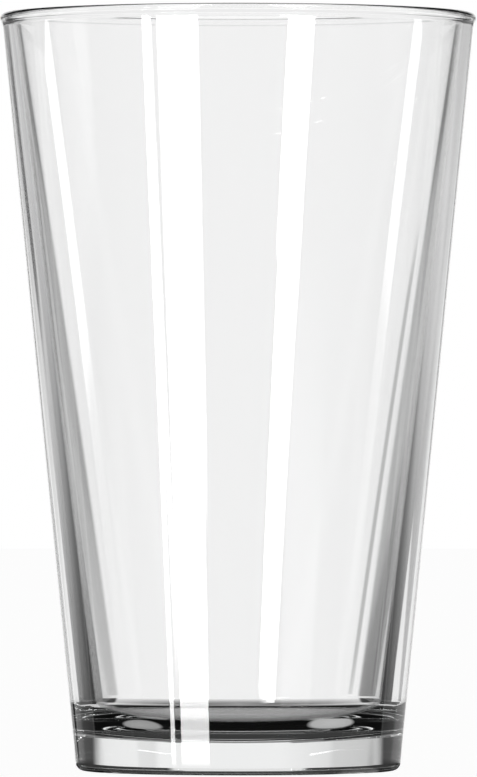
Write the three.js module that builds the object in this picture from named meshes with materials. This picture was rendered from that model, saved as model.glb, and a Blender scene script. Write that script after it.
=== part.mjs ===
// A one-piece pressed mixing glass: a tapered pint tumbler with a thick base, a straight wall that
// thins towards the mouth and a fire-polished rim.
// Millimetres, +Z up. The origin is the centre of the plane that the glass stands on.
import * as THREE from "three";

// Driving dimensions.
const HEIGHT = 141.2;
const RIM_DIAMETER = 88.9; // over the rim bead, the widest place
const FOOT_DIAMETER = 60.3; // of the outer cone where it meets the table plane
const WALL_AT_BASE = 5.0; // wall thickness, measured level, at the table plane
const WALL_AT_RIM = 2.0; // the same just under the bead
const BEAD_RADIUS = 1.05; // the rim is a full round of this radius
const BEAD_PROUD = 0.33; // how far the bead stands out from the outer cone
const BEAD_BLEND = 1.2; // height over which the bead fades into the wall
const FLOOR_HEIGHT = 6.3; // glass under the middle of the cavity
const FLOOR_DISH_RADIUS = 150; // the cavity's floor is a shallow bowl
const INNER_CORNER_RADIUS = 6.3; // between the floor and the wall
const HEEL_RADIUS = 1.6; // outer edge of the base
const BEARING_RING_WIDTH = 3.0; // flat ring that touches the table
const PUNT_HEIGHT = 0.1; // the underside is almost flat inside the bearing ring

// Fineness of the round stretches.
const TURN_STEPS = 96;
const WALL_STEPS = 6;
const BEAD_STEPS = 10;
const BLEND_STEPS = 3;
const HEEL_STEPS = 5;
const CORNER_STEPS = 9;
const FLOOR_STEPS = 4;
const PUNT_STEPS = 4;

const beadHeight = HEIGHT - BEAD_RADIUS;
const beadCentre = RIM_DIAMETER / 2 - BEAD_RADIUS;

// Both walls are straight lines in section: radius = foot + slope * height.
const outerWall = {
  foot: FOOT_DIAMETER / 2,
  slope: (RIM_DIAMETER / 2 - BEAD_PROUD - FOOT_DIAMETER / 2) / beadHeight,
};
const innerWall = {
  foot: outerWall.foot - WALL_AT_BASE,
  slope: outerWall.slope + (WALL_AT_BASE - WALL_AT_RIM) / beadHeight,
};

const radiusAt = (wall, height) => wall.foot + wall.slope * height;
const wallPoint = (wall, height) => new THREE.Vector2(radiusAt(wall, height), height);
const lean = (wall) => Math.atan(wall.slope);

// Points of an arc round (r, z), from one angle to another, in radians from the +r direction.
function arc(r, z, radius, from, to, steps) {
  const curve = new THREE.EllipseCurve(r, z, radius, radius, from, to, to < from);
  return curve.getPoints(steps);
}

// The underside: a shallow spherical hollow inside the flat bearing ring.
function underside() {
  const ringOuter = heel().centre.x;
  const ringInner = ringOuter - BEARING_RING_WIDTH;
  const radius = (ringInner ** 2 + PUNT_HEIGHT ** 2) / (2 * PUNT_HEIGHT);
  const half = Math.asin(ringInner / radius);
  const centre = PUNT_HEIGHT - radius;
  return arc(0, centre, radius, Math.PI / 2, Math.PI / 2 - half, PUNT_STEPS);
}

// The heel: an arc tangent to the table plane and to the outer wall.
function heel() {
  const tilt = lean(outerWall);
  const r = radiusAt(outerWall, HEEL_RADIUS) - HEEL_RADIUS / Math.cos(tilt);
  const centre = new THREE.Vector2(r, HEEL_RADIUS);
  const points = arc(centre.x, centre.y, HEEL_RADIUS, -Math.PI / 2, -tilt, HEEL_STEPS);
  return { centre, points };
}

// The outer wall from the heel to where the bead begins, then the swelling into the bead.
function outerSide() {
  const low = heel().points.at(-1).y;
  const shoulder = wallPoint(outerWall, beadHeight - BEAD_BLEND);
  const start = wallPoint(outerWall, low);
  const wall = new THREE.LineCurve(start, shoulder).getPoints(WALL_STEPS);
  const swell = new THREE.CubicBezierCurve(
    shoulder,
    wallPoint(outerWall, beadHeight - BEAD_BLEND / 2),
    new THREE.Vector2(beadCentre + BEAD_RADIUS, beadHeight - BEAD_BLEND / 3),
    new THREE.Vector2(beadCentre + BEAD_RADIUS, beadHeight),
  ).getPoints(BLEND_STEPS);
  return [...wall.slice(1), ...swell.slice(1)];
}

function bead() {
  return arc(beadCentre, beadHeight, BEAD_RADIUS, 0, Math.PI, BEAD_STEPS).slice(1);
}

// The centre of the inner corner's arc, tangent to the inner wall and to the floor's bowl.
function innerCorner() {
  const offset = innerWall.foot - INNER_CORNER_RADIUS / Math.cos(lean(innerWall));
  const bowlCentre = FLOOR_HEIGHT + FLOOR_DISH_RADIUS;
  const reach = FLOOR_DISH_RADIUS - INNER_CORNER_RADIUS;
  // (offset + slope z)^2 + (bowlCentre - z)^2 = reach^2, whose lower root is the corner.
  const a = 1 + innerWall.slope ** 2;
  const b = 2 * (offset * innerWall.slope - bowlCentre);
  const c = offset ** 2 + bowlCentre ** 2 - reach ** 2;
  const z = (-b - Math.sqrt(b * b - 4 * a * c)) / (2 * a);
  const centre = new THREE.Vector2(offset + innerWall.slope * z, z);
  const floorAngle = Math.atan2(centre.y - bowlCentre, centre.x);
  return { centre, bowlCentre, floorAngle };
}

// The inside: the bead fades into the straight wall, which turns through the corner to the floor.
function innerSide() {
  const { centre, bowlCentre, floorAngle } = innerCorner();
  const wallAngle = -lean(innerWall);
  const corner = arc(
    centre.x, centre.y, INNER_CORNER_RADIUS, wallAngle, floorAngle, CORNER_STEPS,
  );
  const shoulder = wallPoint(innerWall, beadHeight - BEAD_BLEND);
  const fade = new THREE.CubicBezierCurve(
    new THREE.Vector2(beadCentre - BEAD_RADIUS, beadHeight),
    new THREE.Vector2(beadCentre - BEAD_RADIUS, beadHeight - BEAD_BLEND / 3),
    wallPoint(innerWall, beadHeight - BEAD_BLEND / 2),
    shoulder,
  ).getPoints(BLEND_STEPS);
  const wall = new THREE.LineCurve(shoulder, corner[0]).getPoints(WALL_STEPS);
  const floor = arc(
    0, bowlCentre, FLOOR_DISH_RADIUS, floorAngle, -Math.PI / 2, FLOOR_STEPS,
  );
  return [...fade.slice(1), ...wall.slice(1), ...corner.slice(1), ...floor.slice(1)];
}

// The whole section, from the axis under the base, up the outside and down the inside.
function section() {
  const points = [
    ...underside(), ...heel().points, ...outerSide(), ...bead(), ...innerSide(),
  ];
  points[0].x = 0;
  points.at(-1).x = 0;
  return points;
}

function clearGlass() {
  return new THREE.MeshStandardMaterial({
    color: 0xf2f5f4,
    roughness: 0.02,
    metalness: 0,
    transparent: true,
    opacity: 0.3,
  });
}

function glassBody() {
  const geometry = new THREE.LatheGeometry(section(), TURN_STEPS);
  geometry.rotateX(Math.PI / 2);
  const mesh = new THREE.Mesh(geometry, clearGlass());
  mesh.name = "glass_body";
  return mesh;
}

const mixingGlass = new THREE.Group();
mixingGlass.add(glassBody());

export default mixingGlass;
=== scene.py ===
"""A clear, one-piece pint mixing glass on a plain white floor, in a soft studio.

Metres, +Z up. The glass stands on z = 0, centred on the Z axis.
"""
import math

import bpy
import bmesh
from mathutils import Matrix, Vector


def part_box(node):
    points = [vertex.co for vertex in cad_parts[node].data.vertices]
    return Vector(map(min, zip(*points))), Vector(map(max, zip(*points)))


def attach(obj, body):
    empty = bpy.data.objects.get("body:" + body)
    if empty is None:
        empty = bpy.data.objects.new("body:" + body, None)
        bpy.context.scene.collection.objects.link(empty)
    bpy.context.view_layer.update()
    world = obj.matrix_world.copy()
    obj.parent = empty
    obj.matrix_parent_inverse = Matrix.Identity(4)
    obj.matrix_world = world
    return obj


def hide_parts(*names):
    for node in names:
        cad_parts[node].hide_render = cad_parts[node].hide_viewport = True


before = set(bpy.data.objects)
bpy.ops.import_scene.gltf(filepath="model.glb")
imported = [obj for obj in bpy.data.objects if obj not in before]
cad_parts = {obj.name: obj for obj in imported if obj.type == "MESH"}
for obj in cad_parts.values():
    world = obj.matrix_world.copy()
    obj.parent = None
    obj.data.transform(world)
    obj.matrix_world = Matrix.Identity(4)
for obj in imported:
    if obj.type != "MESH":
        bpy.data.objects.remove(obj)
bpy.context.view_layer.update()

MM = 0.001
NODE = "glass_body"

# ---------------------------------------------------------------- the glass's section, in mm

low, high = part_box(NODE)
HEIGHT = high.z / MM
RIM_DIAMETER = (high.x - low.x) / MM
FOOT_DIAMETER = 60.3  # of the outer cone where it meets the floor
WALL_AT_BASE = 5.0  # wall thickness, measured level, at the foot
WALL_AT_RIM = 2.0  # the same just under the bead
BEAD_RADIUS = 1.05  # the rim is a full round of this radius
BEAD_PROUD = 0.33  # how far the bead stands out from the outer cone
BEAD_BLEND = 1.2  # height over which the bead fades into the wall
FLOOR_HEIGHT = 6.3  # glass under the middle of the cavity
FLOOR_DISH_RADIUS = 150.0  # the cavity's floor is a shallow bowl
INNER_CORNER_RADIUS = 6.3
HEEL_RADIUS = 1.6
BEARING_RING_WIDTH = 3.0
PUNT_HEIGHT = 0.1  # the underside is almost flat inside the bearing ring
SHADING_GUARD = 0.12  # short end pieces that keep the straight walls' shading flat

# Fineness of the round stretches.
TURN_STEPS = 320
WALL_STEPS = 40
BLEND_STEPS = 10
BEAD_STEPS = 28
HEEL_STEPS = 14
CORNER_STEPS = 26
FLOOR_STEPS = 10
PUNT_STEPS = 10

GLASS_IOR = 1.52
ABSORPTION_COLOUR = (0.0, 0.06, 0.04, 1)
ABSORPTION_PER_METRE = 2.1

QUARTER = math.pi / 2


class Wall:
    """One face of the wall, a straight line in section."""

    def __init__(self, foot, slope):
        self.foot = foot
        self.slope = slope
        self.lean = math.atan(slope)

    def at(self, z):
        return Vector((self.foot + self.slope * z, z))


BEAD_Z = HEIGHT - BEAD_RADIUS
BEAD_R = RIM_DIAMETER / 2 - BEAD_RADIUS
OUTER = Wall(FOOT_DIAMETER / 2, (RIM_DIAMETER / 2 - BEAD_PROUD - FOOT_DIAMETER / 2) / BEAD_Z)
INNER = Wall(OUTER.foot - WALL_AT_BASE, OUTER.slope + (WALL_AT_BASE - WALL_AT_RIM) / BEAD_Z)


def arc(r, z, radius, start, end, steps):
    """Points round (r, z), from one angle to another, in radians from the +r direction."""
    angles = [start + (end - start) * k / steps for k in range(steps + 1)]
    return [Vector((r + radius * math.cos(a), z + radius * math.sin(a))) for a in angles]


def straight(start, end):
    """A straight run of wall, with a guard piece at each end."""
    guard = (end - start).normalized() * SHADING_GUARD
    shares = [k / WALL_STEPS for k in range(WALL_STEPS + 1)]
    middle = [(start + guard).lerp(end - guard, share) for share in shares]
    return [start, *middle, end]


def fade(a, b, c, d):
    """A cubic Bezier curve."""
    points = []
    for k in range(BLEND_STEPS + 1):
        t = k / BLEND_STEPS
        s = 1 - t
        points.append(a * s**3 + b * (3 * s * s * t) + c * (3 * s * t * t) + d * t**3)
    return points


def base():
    """The shallow hollow underneath, the flat bearing ring and the heel."""
    heel_r = OUTER.at(HEEL_RADIUS).x - HEEL_RADIUS / math.cos(OUTER.lean)
    ring_r = heel_r - BEARING_RING_WIDTH
    radius = (ring_r**2 + PUNT_HEIGHT**2) / (2 * PUNT_HEIGHT)
    half = math.asin(ring_r / radius)
    under = arc(0, PUNT_HEIGHT - radius, radius, QUARTER, QUARTER - half, PUNT_STEPS)
    return under + arc(heel_r, HEEL_RADIUS, HEEL_RADIUS, -QUARTER, -OUTER.lean, HEEL_STEPS)


def rim():
    """The bead, with its fades into the outer and the inner wall."""
    top_out = Vector((BEAD_R + BEAD_RADIUS, BEAD_Z))
    top_in = Vector((BEAD_R - BEAD_RADIUS, BEAD_Z))
    drop = Vector((0, BEAD_BLEND / 3))
    bend = BEAD_Z - BEAD_BLEND / 2
    shoulder = BEAD_Z - BEAD_BLEND
    outside = fade(OUTER.at(shoulder), OUTER.at(bend), top_out - drop, top_out)
    bead = arc(BEAD_R, BEAD_Z, BEAD_RADIUS, 0, math.pi, BEAD_STEPS)
    inside = fade(top_in, top_in - drop, INNER.at(bend), INNER.at(shoulder))
    return outside + bead[1:] + inside[1:]


def cavity_floor():
    """The inner corner, tangent to the wall and to the floor's bowl, and the bowl to the axis."""
    bowl_z = FLOOR_HEIGHT + FLOOR_DISH_RADIUS
    offset = INNER.foot - INNER_CORNER_RADIUS / math.cos(INNER.lean)
    reach = FLOOR_DISH_RADIUS - INNER_CORNER_RADIUS
    # (offset + slope z)^2 + (bowl_z - z)^2 = reach^2, whose lower root is the corner's centre
    a = 1 + INNER.slope**2
    b = 2 * (offset * INNER.slope - bowl_z)
    c = offset**2 + bowl_z**2 - reach**2
    z = (-b - math.sqrt(b * b - 4 * a * c)) / (2 * a)
    r = offset + INNER.slope * z
    angle = math.atan2(z - bowl_z, r)
    corner = arc(r, z, INNER_CORNER_RADIUS, -INNER.lean, angle, CORNER_STEPS)
    return corner + arc(0, bowl_z, FLOOR_DISH_RADIUS, angle, -QUARTER, FLOOR_STEPS)[1:]


def section():
    """From the axis under the base, up the outside, over the rim and down the inside."""
    bottom, top, inside = base(), rim(), cavity_floor()
    outer_run = straight(bottom[-1], top[0])
    inner_run = straight(top[-1], inside[0])
    return bottom + outer_run[1:] + top[1:] + inner_run[1:] + inside[1:]


def revolve(name, points):
    """A closed mesh of revolution from an (r, z) outline that starts and ends on the axis."""
    mesh = bmesh.new()
    bottom = mesh.verts.new((0, 0, points[0].y * MM))
    top = mesh.verts.new((0, 0, points[-1].y * MM))
    rings = []
    for point in points[1:-1]:
        ring = []
        for k in range(TURN_STEPS):
            turn = 2 * math.pi * k / TURN_STEPS
            x, y = point.x * math.cos(turn), point.x * math.sin(turn)
            ring.append(mesh.verts.new((x * MM, y * MM, point.y * MM)))
        rings.append(ring)
    for k in range(TURN_STEPS):
        n = (k + 1) % TURN_STEPS
        mesh.faces.new((bottom, rings[0][n], rings[0][k]))
        mesh.faces.new((top, rings[-1][k], rings[-1][n]))
        for below, above in zip(rings, rings[1:]):
            mesh.faces.new((below[k], below[n], above[n], above[k]))
    for face in mesh.faces:
        face.smooth = True
    data = bpy.data.meshes.new(name)
    mesh.to_mesh(data)
    mesh.free()
    piece = bpy.data.objects.new(name, data)
    bpy.context.scene.collection.objects.link(piece)
    return piece


def clear_glass():
    """Smooth, colourless glass that takes a little light with its thickness."""
    material = bpy.data.materials.new("clear_glass")
    material.use_nodes = True
    tree = material.node_tree
    shader = tree.nodes["Principled BSDF"]
    shader.inputs["Base Color"].default_value = (1, 1, 1, 1)
    shader.inputs["Roughness"].default_value = 0.0
    shader.inputs["IOR"].default_value = GLASS_IOR
    shader.inputs["Transmission Weight"].default_value = 1.0
    absorption = tree.nodes.new("ShaderNodeVolumeAbsorption")
    absorption.inputs["Color"].default_value = ABSORPTION_COLOUR
    absorption.inputs["Density"].default_value = ABSORPTION_PER_METRE
    output = tree.nodes["Material Output"]
    tree.links.new(absorption.outputs[0], output.inputs["Volume"])
    return material


glass = revolve("mixing_glass", section())
glass.data.materials.append(clear_glass())
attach(glass, "root")
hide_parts(NODE)

# ---------------------------------------------------------------- floor, and cards of painted shade and painted light

FLOOR_SIZE = 8.0
FLOOR_DROP = 0.0001  # under the foot, so that they don't share a plane
FLOOR_GREY = 0.25
FLOOR_GLOW = 0.96
# Colour of the painted shade cards, and the glow strength that lights both their black and their
# spots of painted light.
PAINTED_SHADE_BLACK = 0.004
PAINTED_SHADE_STRENGTH = 0.55

# Places on a painted shade card are in shares of its radius.
# Painted shadow under the foot: a black sheet that only the glass sees, with two painted pools of
# light, as pale round spots near its front.
PAINTED_FOOT_SHADOW = {
    "radius": 0.046,
    "place": (0, 0, -0.00005),
    "stretch": 1.0,
    "clearness": ((0, 0.0), (0.82, 0.0), (1, 1.0)),
    "clear_stripe": (),
    "painted_light_spots": (((-0.424, -0.306), 0.122, 0.7), ((0.445, -0.36), 0.152, 1.0)),
}
# Painted shade on the floor just behind the foot, fading out towards its rim and along a middle
# stripe, seen only through the glass.
PAINTED_REAR_SHADE = {
    "radius": 0.050,
    "place": (0, 0.064, -0.00007),
    "stretch": 1.1,
    "clearness": ((0, 0.0), (0.35, 0.3), (0.68, 0.65), (1, 1.0)),
    "clear_stripe": ((0, 0.35), (0.22, 0.18), (0.4, 0.08), (1, 0.08)),
    "painted_light_spots": (),
}


def white_floor():
    bpy.ops.mesh.primitive_plane_add(size=FLOOR_SIZE, location=(0, 0, -FLOOR_DROP))
    floor = bpy.context.object
    floor.name = "floor"
    material = bpy.data.materials.new("floor_white")
    material.use_nodes = True
    shader = material.node_tree.nodes["Principled BSDF"]
    shader.inputs["Base Color"].default_value = (FLOOR_GREY, FLOOR_GREY, FLOOR_GREY, 1)
    shader.inputs["Roughness"].default_value = 1.0
    shader.inputs["Specular IOR Level"].default_value = 0.0
    shader.inputs["Emission Color"].default_value = (1, 1, 1, 1)
    shader.inputs["Emission Strength"].default_value = FLOOR_GLOW
    floor.data.materials.append(material)
    floor.visible_transmission = False
    floor.visible_glossy = False


class Nodes:
    """Arithmetic in a node tree, on numbers and sockets alike."""

    def __init__(self, tree):
        self.tree = tree
        self.tree.nodes.clear()

    def feed(self, inputs, values):
        for socket, value in zip(inputs, values):
            if isinstance(value, bpy.types.NodeSocket):
                self.tree.links.new(value, socket)
            else:
                socket.default_value = value

    def math(self, operation, *values):
        node = self.tree.nodes.new("ShaderNodeMath")
        node.operation = operation
        self.feed(node.inputs, values)
        return node.outputs[0]

    def both(self, a, b):
        """The part that two masks share."""
        return self.math("MULTIPLY", a, b)

    def vector(self, operation, *values):
        node = self.tree.nodes.new("ShaderNodeVectorMath")
        node.operation = operation
        self.feed(node.inputs, values)
        return node.outputs["Value"]

    def parts(self, vector):
        split = self.tree.nodes.new("ShaderNodeSeparateXYZ")
        self.tree.links.new(vector, split.inputs[0])
        return split.outputs

    def coordinates(self, kind):
        return self.tree.nodes.new("ShaderNodeTexCoord").outputs[kind]

    def above(self, value, edge, soft):
        """0 below the edge and 1 above it, with a smooth step soft wide on each side."""
        node = self.tree.nodes.new("ShaderNodeMapRange")
        node.interpolation_type = "SMOOTHSTEP"
        self.feed(node.inputs[:5], (value, edge - soft, edge + soft, 0.0, 1.0))
        return node.outputs[0]

    def between(self, value, start, end, soft):
        rise = self.above(value, start, soft)
        fall = self.above(value, end, soft)
        return self.math("SUBTRACT", rise, fall)

    def over(self, under, value, mask):
        """value where the mask is 1, under where it is 0."""
        node = self.tree.nodes.new("ShaderNodeMix")
        node.data_type = "FLOAT"
        self.feed(node.inputs[:1], (mask,))
        self.feed(node.inputs[2:4], (under, value))
        return node.outputs[0]

    def along(self, value, *stops):
        """Straight lines between (value, level) stops."""
        first, last = stops[0][0], stops[-1][0]
        spread = self.tree.nodes.new("ShaderNodeMapRange")
        self.feed(spread.inputs[:5], (value, first, last, 0.0, 1.0))
        ramp = self.tree.nodes.new("ShaderNodeValToRGB")
        points = ramp.color_ramp.elements
        while len(points) < len(stops):
            points.new(0.5)
        for point, (place, level) in zip(points, stops):
            point.position = (place - first) / (last - first)
            point.color = (level, level, level, 1)
        self.tree.links.new(spread.outputs[0], ramp.inputs[0])
        return ramp.outputs[0]


def painted_shade_material(name, clearness, clear_stripe, painted_light_spots):
    """Painted shade: black, with pale round spots of painted light, and clear where its clearness
    is 1.
    """
    material = bpy.data.materials.new(name)
    material.use_nodes = True
    nodes = Nodes(material.node_tree)
    tree = nodes.tree
    place = nodes.coordinates("Object")
    dark = tree.nodes.new("ShaderNodeEmission")
    dark.inputs["Color"].default_value = (PAINTED_SHADE_BLACK, PAINTED_SHADE_BLACK, PAINTED_SHADE_BLACK, 1)
    dark.inputs["Strength"].default_value = PAINTED_SHADE_STRENGTH
    painted_light = None
    # Each spot of painted light is pale in the middle and fades to the painted shade's black at
    # its edge.
    for (x, y), size, level in painted_light_spots:
        apart = nodes.vector("DISTANCE", place, (x, y, 0))
        spot = nodes.along(apart, (0, level), (size * 0.8, level * 0.85), (size, PAINTED_SHADE_BLACK))
        painted_light = nodes.math("MAXIMUM", painted_light, spot) if painted_light else spot
    if painted_light:
        tree.links.new(painted_light, dark.inputs["Color"])
    clear = tree.nodes.new("ShaderNodeBsdfTransparent")
    blend = tree.nodes.new("ShaderNodeMixShader")
    share = nodes.along(nodes.vector("LENGTH", place), *clearness)
    if clear_stripe:
        offset = nodes.math("ABSOLUTE", nodes.parts(place)[0])
        share = nodes.math("MAXIMUM", share, nodes.along(offset, *clear_stripe))
    nodes.feed(blend.inputs, (share, dark.outputs[0], clear.outputs[0]))
    output = tree.nodes.new("ShaderNodeOutputMaterial")
    tree.links.new(blend.outputs[0], output.inputs["Surface"])
    return material


def painted_shade_card(name, shape):
    """A round sheet of painted shade lying just under the foot's level; only the glass sees it."""
    bpy.ops.mesh.primitive_circle_add(
        vertices=96, radius=1, fill_type="NGON", location=shape["place"]
    )
    piece = bpy.context.object
    piece.name = name
    piece.scale = (shape["radius"] * shape["stretch"], shape["radius"], 1)
    material = painted_shade_material(name, shape["clearness"], shape["clear_stripe"], shape["painted_light_spots"])
    piece.data.materials.append(material)
    piece.visible_camera = False
    piece.visible_shadow = False
    piece.visible_diffuse = False


white_floor()
# Painted shadow under the foot, seen only through the glass.
painted_shade_card("painted_foot_shadow", PAINTED_FOOT_SHADOW)
# Painted shade on the floor behind the foot, seen only through the glass.
painted_shade_card("painted_rear_shade", PAINTED_REAR_SHADE)

# ---------------------------------------------------------------- the studio, all round the glass

# Brightness of what stands round the glass.
BACKDROP = 1.05
BACKDROP_TOP = 0.92
ROOM_SIDE = 0.45
ROOM_FRONT = 0.02
TABLE = 0.05
TABLE_EDGE = 0.8
GROUND_SIDE = 0.05
CEILING = 0.05
OUTLINE_GAP = 0.12
FAR_GAP = 0.05
NEAR_GAP = 0.03
SEAM = 0.6
OPENING = 0.9
STRIP_LIGHT = 16.0
SIDE_STRIP_LIGHT = 4.0

# Where these begin, in degrees to either side from straight behind the glass.
FLANKS_FROM = 12.5
SIDES_FROM = 60
FRONT_FROM = 101

# Where the strip lights are, in degrees. An upright one has its two sides. A slanting one has
# its azimuth's change with elevation, its azimuth on the horizon, its half width, and its ends.
UPRIGHT_STRIPS = ((-159.7, -139.7), (-135, -132))
UPRIGHT_RISE = (-15, -7.4, 0.5)  # bottom, top and how soft
FRONT_STRIPS = ((-2.67, 126.4, 6.2, -10.0, -7.9), (-2.615, 115.3, 6.0, -16.38, -13.4))
SIDE_STRIPS = ((4.46, -52.3, 2.5, -12, -4.0), (-4.1, 61.0, 2.5, -12, -4.6))
STRIP_SOFT = 0.4
STRIP_END_SOFT = 0.1


class Studio(Nodes):
    """The world's light, built from the direction it comes from, in degrees.

    Azimuth is 0 behind the glass and grows to the right; side is how far it is from there.
    """

    def __init__(self):
        world = bpy.data.worlds.new("studio")
        bpy.context.scene.world = world
        world.use_nodes = True
        super().__init__(world.node_tree)
        x, y, z = self.parts(self.coordinates("Generated"))
        self.azimuth = self.math("DEGREES", self.math("ARCTAN2", x, y))
        self.elevation = self.math("DEGREES", self.math("ARCSINE", z))
        self.side = self.math("ABSOLUTE", self.azimuth)

    def patch(self, turn, across, rise):
        """A mask over start to end across and start to end in elevation, each with its edge."""
        return self.both(self.between(turn, *across), self.between(self.elevation, *rise))

    def slant(self, slope, middle, half, soft):
        """A mask over a band whose azimuth moves with the elevation."""
        centre = self.math("MULTIPLY_ADD", self.elevation, slope, middle)
        return self.between(self.math("SUBTRACT", self.azimuth, centre), -half, half, soft)

    def left_right(self, left, right):
        return self.over(left, right, self.above(self.azimuth, 0, 0.1))

    def finish(self, brightness):
        """White straight behind the glass, and the built brightness for everything it refracts."""
        path = self.tree.nodes.new("ShaderNodeLightPath")
        seen = self.over(brightness, 1.0, path.outputs["Is Camera Ray"])
        background = self.tree.nodes.new("ShaderNodeBackground")
        background.inputs["Color"].default_value = (1, 1, 1, 1)
        self.tree.links.new(seen, background.inputs["Strength"])
        output = self.tree.nodes.new("ShaderNodeOutputWorld")
        self.tree.links.new(background.outputs[0], output.inputs["Surface"])


def room(studio):
    """A white backdrop, dimmer round the sides, and a dark room in front and overhead."""
    elevation, side = studio.elevation, studio.side
    light = studio.over(BACKDROP, ROOM_SIDE, studio.above(side, SIDES_FROM, 5))
    light = studio.over(light, ROOM_FRONT, studio.above(side, FRONT_FROM, 2))

    # dark tables either side, with a lit front edge
    table = studio.patch(side, (SIDES_FROM, FRONT_FROM, 2), (-11.5, -6.5, 0.6))
    light = studio.over(light, TABLE, table)
    table_edge = studio.patch(side, (55, 76, 2), (-20, -12.3, 0.6))
    light = studio.over(light, TABLE_EDGE, table_edge)

    # above the horizon the backdrop reaches further out
    reach = studio.along(
        studio.azimuth,
        (-66, 0.04), (-58, 0.3), (-44, 0.45), (-41, 0.66), (-26, 0.72), (-24, 0.84),
        (-15, 0.95), (-10, 1.0), (20, 1.0), (22, 0.85), (27, 0.88), (28, 0.98), (44, 0.98),
        (58, 0.1), (66, 0.04),
    )
    raised = studio.patch(side, (-9, FRONT_FROM, 2), (2, 25, 0.6))
    light = studio.over(light, studio.math("MULTIPLY", reach, BACKDROP), raised)
    light = studio.over(light, BACKDROP_TOP, studio.above(elevation, 6.5, 0.5))

    # dark above its shoulders, low down at the sides, and overhead
    shoulder = studio.both(studio.above(elevation, 6.8, 0.4), studio.above(side, 17, 1.5))
    light = studio.over(light, CEILING, shoulder)
    ground = studio.both(studio.between(elevation, -90, -20, 1), studio.above(side, 14, 1.5))
    light = studio.over(light, GROUND_SIDE, ground)
    return studio.over(light, CEILING, studio.above(elevation, 19.5, 1))


def flanks(studio, light):
    """Below the horizon the white narrows to a strip, with grey panels and thin gaps beside it."""
    elevation, side = studio.elevation, studio.side

    # the panels' brightness goes by elevation, 0.1 degree further for each degree outward
    fall = studio.math("MULTIPLY_ADD", studio.math("SUBTRACT", side, 25.0), 0.1, elevation)
    panel = studio.along(
        fall,
        (-8, 0.07), (-6.4, 0.10), (-5.95, 0.16), (-5.5, 0.25), (-5.0, 0.36), (-4.2, 0.56),
        (-3.5, 0.68), (-2.5, 0.62), (-1.0, 0.5), (1, 0.45), (3, 0.15),
    )
    depth = studio.along(side, (13, 1.0), (38, 1.0), (43, 0.55), (60, 0.5))
    flank = studio.math("MULTIPLY", panel, depth)

    # the backdrop's own edge, in hundreds of degrees, and how bright it is up to there
    edge = studio.left_right(
        studio.along(elevation, (-7, 0.22), (-4.6, 0.22), (-2.3, 0.18)),
        studio.along(elevation, (-7, 0.33), (-2.9, 0.19), (-2.0, 0.17)),
    )
    edge = studio.math("MULTIPLY", edge, 100.0)
    glow = studio.left_right(
        studio.along(
            elevation,
            (-8, 0.9), (-5.0, 0.88), (-4.6, 0.7), (-3.6, 0.62), (-3.2, 0.5), (-1.7, 0.45),
        ),
        studio.along(
            elevation,
            (-8, 0.95), (-5.9, 0.9), (-5.6, 0.3), (-4.9, 0.28), (-4.5, 0.33), (-4.1, 0.38),
            (-3.8, 0.55), (-3.4, 0.62), (-1.7, 0.5),
        ),
    )
    inside = studio.both(
        studio.above(studio.math("SUBTRACT", edge, side), 0, 0.7),
        studio.between(elevation, -8, -1.7, 0.4),
    )
    flank = studio.over(flank, glow, inside)

    # thin dark gaps: an upright one at each side, and two slanting ones on the left
    outline = studio.both(
        studio.between(side, FLANKS_FROM, 17.5, 0.8), studio.above(elevation, -1.7, 0.3)
    )
    flank = studio.over(flank, OUTLINE_GAP, outline)
    far_gap = studio.both(
        studio.slant(4.46, -24.6, 3.2, 0.6), studio.above(elevation, -2.2, 0.4)
    )
    flank = studio.over(flank, FAR_GAP, far_gap)
    near_gap = studio.both(
        studio.slant(3.0, -12.8, 2.1, 0.6), studio.between(elevation, -4.4, -2.0, 0.4)
    )
    flank = studio.over(flank, NEAR_GAP, near_gap)
    flank_reach = studio.patch(side, (FLANKS_FROM, 59, 0.75), (-17, 3.4, 0.6))
    light = studio.over(light, flank, flank_reach)
    seam = studio.patch(studio.azimuth, (9.5, 10.5, 0.3), (-3.8, -1.5, 0.3))
    return studio.over(light, SEAM, seam)


def openings(studio, light):
    """Lit openings at the left, in the front right corner and low on the left; dark underfoot."""
    places = (
        ((-101, -79, 1.5), (-7, 0, 0.6)),
        ((123, 147, 1.5), (-24, -13.5, 1)),
        ((-58, -32, 1.5), (-31, -21, 1)),
    )
    for across, rise in places:
        light = studio.over(light, OPENING, studio.patch(studio.azimuth, across, rise))
    return studio.math("MULTIPLY", light, studio.above(studio.elevation, -68, 6))


def slanting_strip(studio, slope, middle, half, bottom, top):
    band = studio.slant(slope, middle, half, STRIP_SOFT)
    return studio.both(band, studio.between(studio.elevation, bottom, top, STRIP_END_SOFT))


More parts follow.
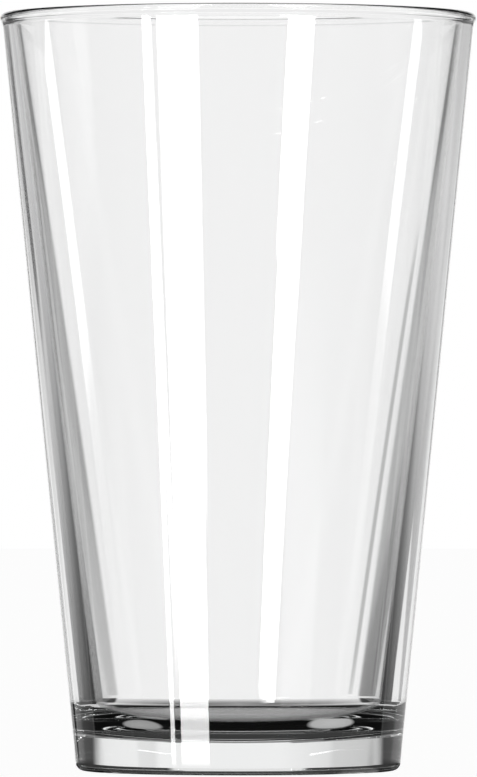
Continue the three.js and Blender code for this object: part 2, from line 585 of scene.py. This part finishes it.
def strip_lights(studio, light):
    """A wide and a thin strip in front on the left, two slanting ones on the right, and one at
    each side that fades downward."""
    strips = []
    for start, end in UPRIGHT_STRIPS:
        strips.append(studio.patch(studio.azimuth, (start, end, STRIP_SOFT), UPRIGHT_RISE))
    for shape in FRONT_STRIPS:
        strips.append(slanting_strip(studio, *shape))
    for strip in strips:
        light = studio.math("MULTIPLY_ADD", strip, STRIP_LIGHT, light)
    strength = studio.along(
        studio.elevation,
        (-10, 0.0), (-8.5, 0.8), (-7.4, 1.5), (-6.8, SIDE_STRIP_LIGHT), (0, SIDE_STRIP_LIGHT),
    )
    for shape in SIDE_STRIPS:
        light = studio.math("MULTIPLY_ADD", slanting_strip(studio, *shape), strength, light)
    return light


studio = Studio()
studio.finish(strip_lights(studio, openings(studio, flanks(studio, room(studio)))))

# ---------------------------------------------------------------- camera

CAMERA_DISTANCE = 1.8
CAMERA_HEIGHT = 0.060
CAMERA_TILT = math.radians(0.357)
CAMERA_LENS = 447.0  # mm, as is the sensor's width
CAMERA_SENSOR = 36.0
CAMERA_SHIFT = 0.0005
CAMERA_NEAR = 0.01
CAMERA_FAR = 50.0
BOUNCES = 24  # in all, and of refraction
GLOSSY_BOUNCES = 16
INDIRECT_CLAMP = 24.0

camera_data = bpy.data.cameras.new("camera")
camera_data.lens = CAMERA_LENS
camera_data.sensor_width = CAMERA_SENSOR
camera_data.sensor_fit = "AUTO"
camera_data.shift_x = CAMERA_SHIFT
camera_data.clip_start = CAMERA_NEAR
camera_data.clip_end = CAMERA_FAR
camera_data.dof.use_dof = False
camera = bpy.data.objects.new("camera", camera_data)
camera.location = (0, -CAMERA_DISTANCE, CAMERA_HEIGHT)
camera.rotation_euler = (math.pi / 2 + CAMERA_TILT, 0, 0)
bpy.context.scene.collection.objects.link(camera)
bpy.context.scene.camera = camera

scene = bpy.context.scene
scene.view_settings.view_transform = "Standard"
scene.view_settings.look = "None"
scene.cycles.max_bounces = BOUNCES
scene.cycles.transmission_bounces = BOUNCES
scene.cycles.glossy_bounces = GLOSSY_BOUNCES
scene.cycles.sample_clamp_indirect = INDIRECT_CLAMP
